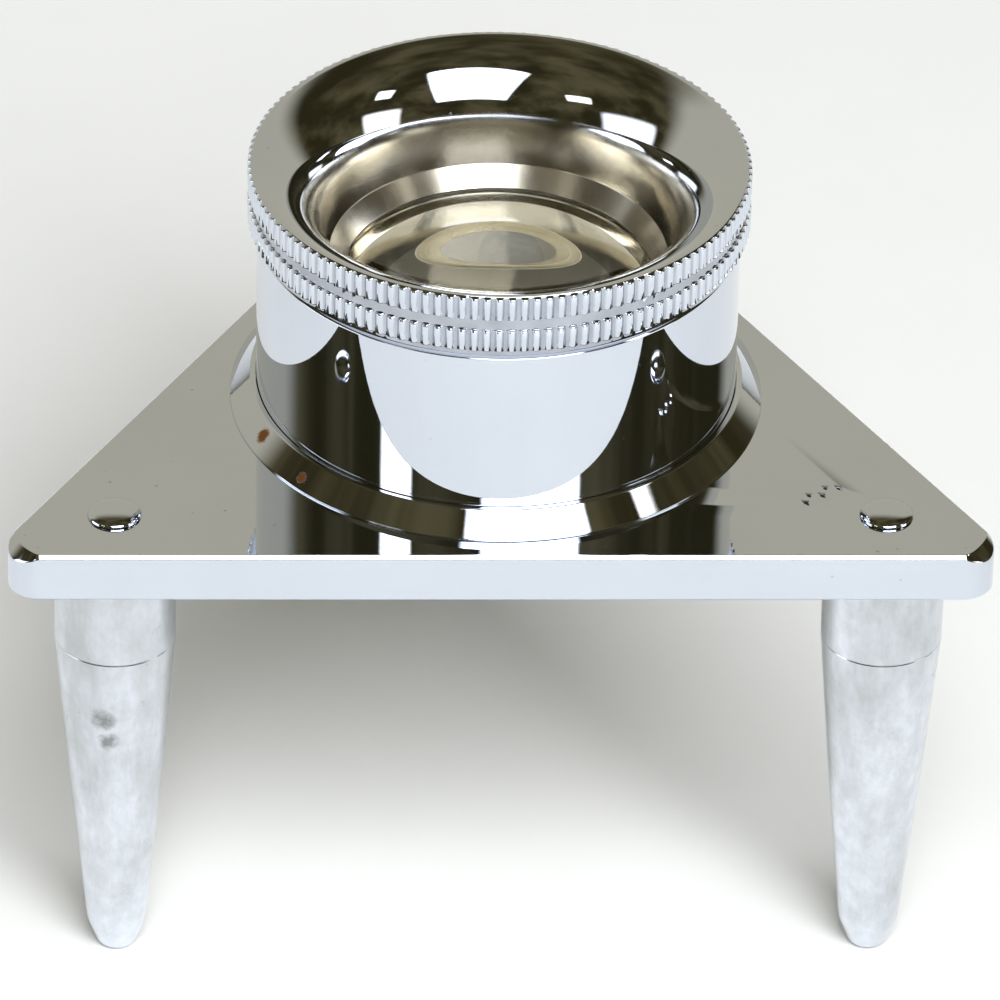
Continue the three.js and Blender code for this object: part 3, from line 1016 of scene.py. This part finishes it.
def make_lens(node):
    """A plano-convex lens with its curved face up and a fine bevel at both edges."""
    low, high = box_mm(node)
    radius = (high.x - low.x) / 2
    bevel = LENS_BEVEL
    profile = []
    for step in range(LENS_STEPS + 1):
        r = (radius - bevel) * step / LENS_STEPS
        profile.append((r, high.z - lens_sag(node, r)))
    profile += [(radius, profile[-1][1] - bevel), (radius, low.z + bevel)]
    profile += [(radius - bevel, low.z), (radius - bevel - 0.1, low.z), (0, low.z)]
    turned_piece(
        f"{node}_glass", profile, "lens_pair", node, glass, columns=LENS_COLUMNS
    )


# Down the spacer's stepped bore: radius, depth below its top and corner radius.
SPACER_STEPS = [
    (12.1, 0, 0.05),
    (11.4, 0.7, 0.1),
    (11.3, 1.3, 0.05),
    (10.6, 2.0, 0.1),
    (10.5, 2.1, 0.05),
]


def make_spacer():
    low, high = box_mm("lens_spacer")
    _, lens_high = box_mm("lower_lens")
    outer = (high.x - low.x) / 2
    bore = SPACER_STEPS[-1][0]
    foot = lens_high.z - lens_sag("lower_lens", bore) + FIT
    corners = [(outer, low.z, 0.02), (outer, high.z, FINE_EDGE)]
    corners += [(radius, high.z - depth, corner) for radius, depth, corner in SPACER_STEPS]
    corners.append((bore, foot, 0.03))
    profile = soften(corners, closed=True, guard=0.02)
    turned_piece(
        "spacer",
        profile,
        "eyepiece",
        "lens_spacer",
        cell_brass,
        columns=LENS_COLUMNS,
    )


RETAINER_BORE = 11.4
SLOT_HALF_WIDTH = 0.6
SLOT_DEPTH = 0.7


def make_retainer():
    low, high = box_mm("lens_retaining_ring")
    outer = (high.x - low.x) / 2
    mesh = bmesh.new()
    angles = even_angles()
    profile = soften(
        [
            (outer, low.z, 0.1),
            (outer, high.z, 0.1),
            (RETAINER_BORE, high.z, 0.05),
            (RETAINER_BORE, low.z, 0.2),
        ],
        closed=True,
    )
    rings = []
    for radius, height in profile:
        points = []
        for angle in angles:
            in_slot = abs(radius * math.sin(angle)) < SLOT_HALF_WIDTH
            held = max(height, low.z + SLOT_DEPTH) if in_slot else height
            points += ring_points(radius, held, [angle])
        rings.append(add_ring(mesh, points))
    for lower, upper in zip(rings, rings[1:] + rings[:1]):
        join_rings(mesh, lower, upper)
    finish_piece(
        "retaining_ring", mesh, "eyepiece", ["lens_retaining_ring"], brass
    )


make_plate()
for corner_name in CORNER_ANGLES:
    make_leg(corner_name)
    make_rivet(corner_name)
make_barrel()
make_collar()
make_lock_ring()
make_eyecup()
make_lens("upper_lens")
make_lens("lower_lens")
make_spacer()
make_retainer()

# ---- Stage: floor, light and camera ----


# Half the floor's side, in metres.
FLOOR_REACH = 6.0


def make_floor():
    mesh = bmesh.new()
    size = FLOOR_REACH
    corners = [(-size, -size), (size, -size), (size, size), (-size, size)]
    mesh.faces.new([mesh.verts.new((x, y, 0)) for x, y in corners])
    data = bpy.data.meshes.new("floor")
    mesh.to_mesh(data)
    mesh.free()
    floor = bpy.data.objects.new("floor", data)
    bpy.context.scene.collection.objects.link(floor)
    tree = Tree("floor_paper")
    grain = tree.noise(40, 4, 0.6)
    grain = tree.span(grain, 0.3, 0.7)
    tree.set(
        Base_Color=tree.mix(grain, (0.90, 0.905, 0.90), (0.88, 0.885, 0.88)),
        Roughness=0.6,
        Specular_IOR_Level=0.2,
    )
    data.materials.append(tree.material)


def direction(azimuth, elevation):
    """Unit vector from the object. Azimuth 0 is the camera's side, 90 is towards +X."""
    a, e = math.radians(azimuth), math.radians(elevation)
    return Vector((math.sin(a) * math.cos(e), -math.cos(a) * math.cos(e), math.sin(e)))


# Windows of the room: azimuth, elevation, half width and half height (tangents of the
# angles they take up), blur of the edges, radiance, colour, and the light that comes in
# at them as a share of what the radiance would give.
COOL = (0.97, 0.985, 1.0)
WARM = (1.0, 0.97, 0.88)
WINDOWS = {
    "key": (16, 47, 0.345, 0.335, 0.03, 7.0, COOL, 1.47),
    "left": (-82, 13, 0.30, 0.22, 0.05, 2.4, COOL, 0.4),
    "left_small": (-50, 35, 0.11, 0.05, 0.02, 4.0, WARM, 0.4),
    "right": (72, 15, 0.20, 0.17, 0.04, 2.6, WARM, 0.4),
    "right_small": (74, 41, 0.07, 0.06, 0.02, 4.0, WARM, 0.4),
}
# How far off the windows' lamps stand, in metres.
WINDOW_DISTANCE = 1.7
BACKDROP = (0.975, 0.99, 0.975)
# The even light that every matt surface gets.
FILL_LIGHT = (0.14, 0.135, 0.105)
ROOM_DARK = (0.030, 0.025, 0.010)
ROOM_LIGHT = (0.11, 0.092, 0.045)
WALL_GREY = (0.52, 0.485, 0.375)


def add_lamp(name):
    """The light that comes in at a window. Its mirror image is the room's own window."""
    azimuth, elevation, half_width, half_height, _, radiance, colour, share = WINDOWS[name]
    light = bpy.data.lights.new(f"{name}_window", "AREA")
    light.shape = "RECTANGLE"
    light.size = 2 * half_width * WINDOW_DISTANCE
    light.size_y = 2 * half_height * WINDOW_DISTANCE
    light.energy = share * radiance * math.pi * light.size * light.size_y
    light.color = colour
    lamp = bpy.data.objects.new(light.name, light)
    bpy.context.scene.collection.objects.link(lamp)
    aim = Vector((AXIS.x, AXIS.y, PLATE_TOP)) * MM
    way = direction(azimuth, elevation)
    lamp.location = aim + way * WINDOW_DISTANCE
    lamp.rotation_mode = "QUATERNION"
    lamp.rotation_quaternion = (-way).to_track_quat("-Z", "Y")
    lamp.visible_camera = False
    lamp.visible_glossy = False
    lamp.visible_transmission = False


def make_room():
    """A dim warm room with soft windows, a grey wall behind, and a pale backdrop."""
    world = bpy.data.worlds.new("room")
    world.use_nodes = True
    bpy.context.scene.world = world
    nodes = world.node_tree.nodes
    links = world.node_tree.links
    nodes.clear()

    def feed(socket, value):
        if isinstance(value, bpy.types.NodeSocket):
            links.new(value, socket)
        elif isinstance(value, tuple) and len(value) == 3 and socket.type == "RGBA":
            socket.default_value = (*value, 1.0)
        else:
            socket.default_value = value

    def calculate(operation, first, second=0.0):
        node = nodes.new("ShaderNodeMath")
        node.operation = operation
        feed(node.inputs[0], first)
        feed(node.inputs[1], second)
        return node.outputs["Value"]

    def smooth(value, low, high):
        """0 below low and 1 above high, or the other way round if low is the larger."""
        node = nodes.new("ShaderNodeMapRange")
        node.interpolation_type = "SMOOTHSTEP"
        node.inputs["From Min"].default_value = min(low, high)
        node.inputs["From Max"].default_value = max(low, high)
        node.inputs["To Min"].default_value = 0.0 if low < high else 1.0
        node.inputs["To Max"].default_value = 1.0 if low < high else 0.0
        feed(node.inputs["Value"], value)
        return node.outputs["Result"]

    def blend(factor, first, second):
        node = nodes.new("ShaderNodeMix")
        node.data_type = "RGBA"
        feed(node.inputs[0], factor)
        feed(node.inputs[6], first)
        feed(node.inputs[7], second)
        return node.outputs[2]

    def along(axis):
        node = nodes.new("ShaderNodeVectorMath")
        node.operation = "DOT_PRODUCT"
        feed(node.inputs[0], way)
        node.inputs[1].default_value = axis
        return node.outputs["Value"]

    coordinates = nodes.new("ShaderNodeTexCoord")
    way = coordinates.outputs["Generated"]
    x, y, z = (along(axis) for axis in ((1, 0, 0), (0, 1, 0), (0, 0, 1)))
    behind = calculate("SUBTRACT", y, calculate("MULTIPLY", x, 0.195))
    wall = smooth(behind, 0.42, 0.62)
    below_ceiling = smooth(z, 0.84, 0.66)
    blotches = nodes.new("ShaderNodeTexNoise")
    blotches.inputs["Scale"].default_value = 3.2
    blotches.inputs["Detail"].default_value = 3.0
    feed(blotches.inputs["Vector"], way)
    dim = smooth(blotches.outputs["Fac"], 0.35, 0.7)
    room = blend(dim, ROOM_DARK, ROOM_LIGHT)
    walls = blend(wall, room, WALL_GREY)
    walls = blend(below_ceiling, room, walls)
    for window in WINDOWS.values():
        azimuth, elevation, half_width, half_height, blur, radiance, colour, _ = window
        ahead = direction(azimuth, elevation)
        side = ahead.cross(Vector((0, 0, 1))).normalized()
        up = side.cross(ahead)
        depth = along(ahead)
        across = calculate("ABSOLUTE", calculate("DIVIDE", along(side), depth))
        above = calculate("ABSOLUTE", calculate("DIVIDE", along(up), depth))
        pane = calculate(
            "MULTIPLY",
            smooth(across, half_width + blur, half_width - blur),
            smooth(above, half_height + blur, half_height - blur),
        )
        pane = calculate("MULTIPLY", pane, calculate("GREATER_THAN", depth, 0.0))
        walls = blend(pane, walls, tuple(radiance * c for c in colour))
    paths = nodes.new("ShaderNodeLightPath")
    reflected = calculate(
        "MAXIMUM", paths.outputs["Is Glossy Ray"], paths.outputs["Is Transmission Ray"]
    )
    lit = blend(reflected, FILL_LIGHT, walls)
    seen = blend(paths.outputs["Is Camera Ray"], lit, BACKDROP)
    background = nodes.new("ShaderNodeBackground")
    feed(background.inputs["Color"], seen)
    output = nodes.new("ShaderNodeOutputWorld")
    links.new(background.outputs[0], output.inputs["Surface"])


def make_camera():
    """A long lens from in front and above, turned and tilted a little off square."""
    pitch = math.radians(34.2)
    yaw = math.radians(-2.04)
    roll = math.radians(-1.18)
    distance = 758.7
    aim = Vector((0.50, 0.0, -9.84))
    ahead = Vector((0, math.cos(pitch), -math.sin(pitch)))
    right = Vector((1, 0, 0))
    up = Vector((0, math.sin(pitch), math.cos(pitch)))
    cam_right = math.cos(roll) * right - math.sin(roll) * up
    cam_up = math.sin(roll) * right + math.cos(roll) * up
    turn = Matrix.Rotation(yaw, 3, "Z")
    basis = turn @ Matrix((cam_right, cam_up, -ahead)).transposed()
    place = turn @ (aim - ahead * distance) + Vector((AXIS.x, AXIS.y, PLATE_TOP))
    camera_data = bpy.data.cameras.new("camera")
    camera_data.sensor_width = 36
    camera_data.lens = 360.8
    camera_data.clip_start = 0.01
    camera_data.clip_end = 50
    camera = bpy.data.objects.new("camera", camera_data)
    bpy.context.scene.collection.objects.link(camera)
    camera.matrix_world = Matrix.Translation(place * MM) @ basis.to_4x4()
    bpy.context.scene.camera = camera


make_floor()
make_room()
for window_name in WINDOWS:
    add_lamp(window_name)
make_camera()
bpy.context.scene.view_settings.view_transform = "Standard"
